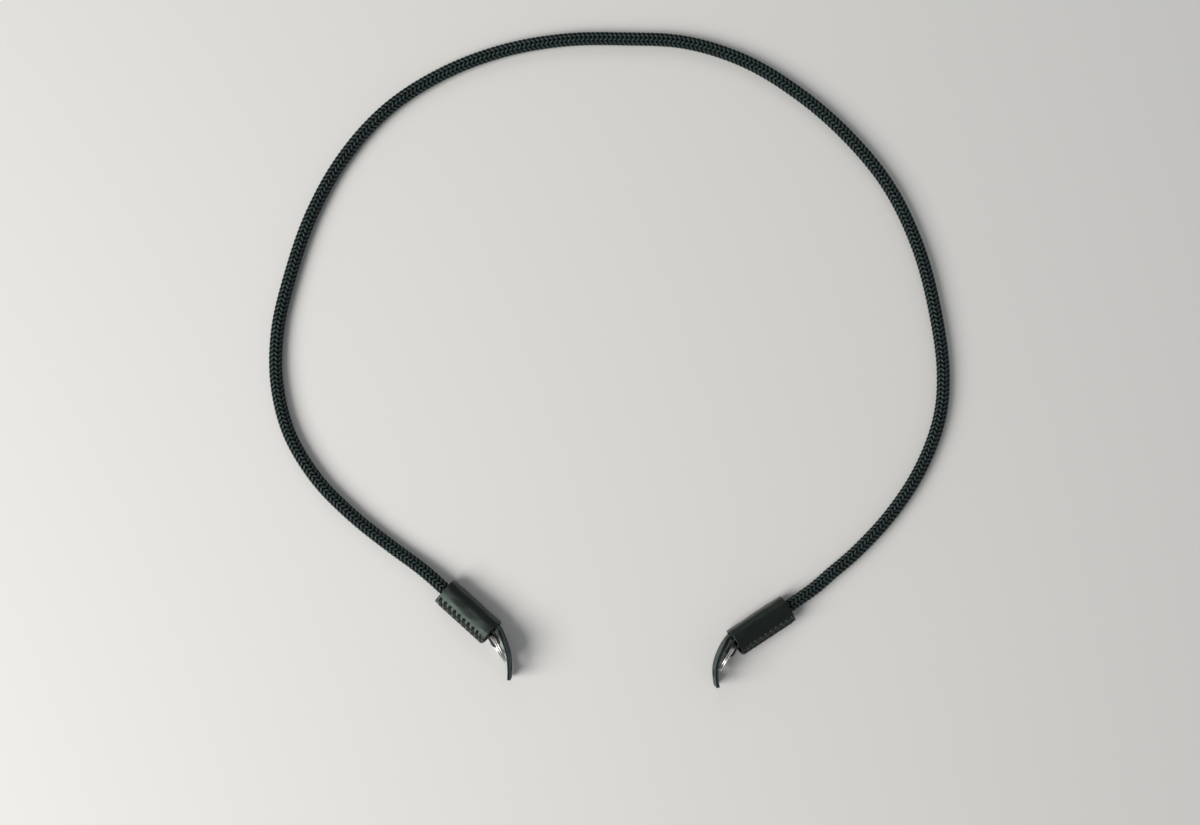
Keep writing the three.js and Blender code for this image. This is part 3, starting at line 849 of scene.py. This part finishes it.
def rope_material():
    """Black braided yarn: fine filaments along each strand, paler where the strand stands proud, a painted
    highlight, near black where it dives under and on the core, a painted shade, and glossier on the crests."""
    material, tree, shader = new_material("rope_braid")
    filaments = streaks(tree, 160.0, 9000.0, 2.5)
    # The paler colour is a painted highlight on the crests; the darkest is a painted shade in the gaps and
    # on the core
    wear_and_painted_light = add_group(
        tree, wear_and_painted_light_nodes, Base=colour(0.0009, 0.0017, 0.0017), Worn=colour(0.052, 0.082, 0.078),
        Crease=colour(0.0002, 0.0003, 0.0003),
    )
    patches = add_group(tree, mottle, Patches_per_metre=45.0)
    shade = ranged(tree, filaments, 0.1, 1.9)
    tone = maths(tree, "MULTIPLY", shade, ranged(tree, patches.outputs[0], 0.8, 1.2))
    tree.links.new(shaded(tree, wear_and_painted_light.outputs["Color"], tone), shader.inputs["Base Color"])
    tree.links.new(ranged(tree, filaments, 0.4, 0.62), shader.inputs["Roughness"])
    tree.links.new(maths(tree, "MULTIPLY", wear_and_painted_light.outputs["Worn share"], 0.5), shader.inputs["Coat Weight"])
    shader.inputs["Coat Roughness"].default_value = 0.38
    shader.inputs["Coat IOR"].default_value = 1.65
    shader.inputs["Specular IOR Level"].default_value = 0.15
    shader.inputs["Specular Tint"].default_value = colour(0.6, 1, 0.96)
    set_bump(tree, shader, filaments, 1, 0.0003)
    return material


def leather_material(name, smoothest, roughest, tint):
    """Dark grained leather, slightly waxed: its raised places and cut edges are paler, partly wear and
    partly a painted highlight, and smoother; its seam groove, thread dents and holes are darker, a painted
    shade."""
    material, tree, shader = new_material(name)
    cells = add_group(tree, grain, Cells_per_metre=1500.0, Pore_strength=0.35)
    wear_and_painted_light = add_group(
        # The paler colour on raised places and edges is partly wear and partly a painted highlight; the
        # darkest colour, in creases and holes, is a painted shade
        tree, wear_and_painted_light_nodes, Base=colour(0.0058, 0.007, 0.006), Worn=colour(0.032, 0.042, 0.037),
        Crease=colour(0.0012, 0.0014, 0.0012),
    )
    patches = add_group(tree, mottle, Patches_per_metre=70.0)
    lit_cells = ranged(tree, cells.outputs["Valleys"], 0.6, 1.08)
    shade = maths(tree, "MULTIPLY", lit_cells, ranged(tree, patches.outputs[0], 0.75, 1.25))
    tree.links.new(shaded(tree, wear_and_painted_light.outputs["Color"], shade), shader.inputs["Base Color"])
    unworn = ranged(tree, patches.outputs[0], smoothest, roughest)
    smoothed = maths(tree, "MULTIPLY", wear_and_painted_light.outputs["Worn share"], 0.12)
    tree.links.new(maths(tree, "SUBTRACT", unworn, smoothed), shader.inputs["Roughness"])
    shader.inputs["Specular Tint"].default_value = tint
    set_bump(tree, shader, cells.outputs["Height"], 0.35, 0.00008)
    return material


def webbing_material():
    """The tab's close weave: ribs across it and yarns along it, dark grey and dull."""
    material, tree, shader = new_material("tab_weave")
    parts = add_node(tree, "ShaderNodeSeparateXYZ", {0: surface_uv(tree)})
    rib, yarn = 1.24 * MM, 0.93 * MM
    along = maths(tree, "SINE", maths(tree, "MULTIPLY", parts.outputs[0], 2 * np.pi / rib))
    across = maths(tree, "SINE", maths(tree, "MULTIPLY", parts.outputs[1], 2 * np.pi / yarn))
    over = maths(tree, "MULTIPLY", along, across)
    height = maths(tree, "ADD", maths(tree, "MULTIPLY", over, 0.5), 0.5)
    # On the tab the paler rims are wear; its relief values never fall below one half, so the painted shade
    # colour is not reached
    wear_and_painted_light = add_group(
        tree, wear_and_painted_light_nodes, Base=colour(0.022, 0.024, 0.023), Worn=colour(0.06, 0.066, 0.062),
        Crease=colour(0.006, 0.006, 0.006),
    )
    paint = shaded(tree, wear_and_painted_light.outputs["Color"], ranged(tree, height, 0.5, 1.3))
    tree.links.new(paint, shader.inputs["Base Color"])
    patches = add_group(tree, mottle, Patches_per_metre=400.0)
    tree.links.new(ranged(tree, patches.outputs[0], 0.62, 0.82), shader.inputs["Roughness"])
    shader.inputs["Sheen Weight"].default_value = 0.15
    set_bump(tree, shader, height, 0.6, 0.0002)
    return material


def thread_material():
    """Waxed twisted thread: slanting plies round each stitch."""
    material, tree, shader = new_material("waxed_thread")
    parts = add_node(tree, "ShaderNodeSeparateXYZ", {0: surface_uv(tree)})
    slanted = maths(tree, "ADD", parts.outputs[0], parts.outputs[1])
    ply_width = np.pi * THREAD_DIAMETER * MM / THREAD_PLIES
    plies = maths(tree, "SINE", maths(tree, "MULTIPLY", slanted, 2 * np.pi / ply_width))
    height = maths(tree, "ADD", maths(tree, "MULTIPLY", plies, 0.5), 0.5)
    paint = mixed(tree, height, colour(0.006, 0.007, 0.006), colour(0.02, 0.023, 0.021))
    tree.links.new(paint, shader.inputs["Base Color"])
    patches = add_group(tree, mottle, Patches_per_metre=500.0)
    tree.links.new(ranged(tree, patches.outputs[0], 0.4, 0.6), shader.inputs["Roughness"])
    set_bump(tree, shader, height, 0.7, 0.00018)
    return material


def steel_material():
    """Polished steel wire: bright, with fine scratches along the wire and a few dull patches."""
    material, tree, shader = new_material("polished_steel")
    scratches = streaks(tree, 250.0, 9000.0, 3.0)
    patches = add_group(tree, mottle, Patches_per_metre=260.0)
    paint = mixed(tree, patches.outputs[0], colour(0.84, 0.83, 0.8), colour(0.96, 0.95, 0.93))
    tree.links.new(paint, shader.inputs["Base Color"])
    dulled = ranged(tree, patches.outputs[0], 0.0, 0.1)
    rough = maths(tree, "ADD", ranged(tree, scratches, 0.2, 0.32), dulled)
    tree.links.new(rough, shader.inputs["Roughness"])
    shader.inputs["Metallic"].default_value = 1
    set_bump(tree, shader, scratches, 0.15, 0.00003)
    return material


def floor_material():
    material, _, shader = new_material("pale_floor")
    shader.inputs["Base Color"].default_value = colour(0.8, 0.785, 0.76)
    shader.inputs["Roughness"].default_value = 0.85
    return material


# Each piece gets its material and the body it rides on
def finish_piece(piece, material):
    piece.data.materials.append(material)
    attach(piece, "root")


braid = rope_material()
for piece in [core, *strands]:
    finish_piece(piece, braid)
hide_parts("rope")

leather = leather_material("dark_leather", 0.27, 0.4, colour(0.8, 1, 0.9))
guard_leather = leather_material("guard_leather", 0.42, 0.58, colour(0.55, 0.95, 0.95))
thread = thread_material()
weave = webbing_material()
steel = steel_material()
for side, end in ENDS.items():
    built = [
        (make_sleeve(f"sleeve_{side}_leather", end), leather, "leather", f"sleeve_{side}"),
        (make_thread(f"seam_thread_{side}", end), thread, "leather", None),
        (make_guard(f"guard_{side}_plies", end), guard_leather, "leather", f"guard_{side}"),
        (make_tab(f"ring_tab_{side}_strip", end), weave, "tab_webbing", f"ring_tab_{side}"),
        (make_ring(f"split_ring_{side}_wire", end), steel, "ring_steel", f"split_ring_{side}"),
    ]
    for piece, material, slot, node in built:
        finish_piece(piece, material)
        if node:
            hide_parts(node)


# The floor and the lights
def make_floor():
    size = 12000
    corners = np.array([(-1, -1), (1, -1), (1, 1), (-1, 1)]) * size
    vertices = np.column_stack([corners, np.zeros(4)])
    floor = make_piece("floor", vertices, [np.array([[0, 1, 2, 3]])])
    floor.data.materials.append(floor_material())


def area_light(name, place, target, size, power, tint):
    data = bpy.data.lights.new(name, "AREA")
    data.shape = "RECTANGLE"
    data.size, data.size_y = (length * MM for length in size)
    data.energy = power
    data.color = tint
    light = bpy.data.objects.new(name, data)
    light.location = Vector(place) * MM
    aim = Vector(target) * MM - light.location
    light.rotation_euler = aim.to_track_quat("-Z", "Y").to_euler()
    bpy.context.scene.collection.objects.link(light)


def soft_world(tint, strength):
    world = bpy.data.worlds.new("room")
    world.use_nodes = True
    background = world.node_tree.nodes["Background"]
    background.inputs["Color"].default_value = (*tint, 1)
    background.inputs["Strength"].default_value = strength
    bpy.context.scene.world = world


LOOP_MIDDLE = (0, 150, 0)
DAYLIGHT = (1, 0.99, 0.97)

make_floor()
area_light("window", (-1600, -600, 1600), LOOP_MIDDLE, (1600, 1600), 54, DAYLIGHT)
area_light("far_window", (-300, 1700, 1250), LOOP_MIDDLE, (1000, 800), 3, DAYLIGHT)
soft_world((0.92, 0.96, 1), 0.25)
bpy.context.scene.view_settings.view_transform = "Standard"
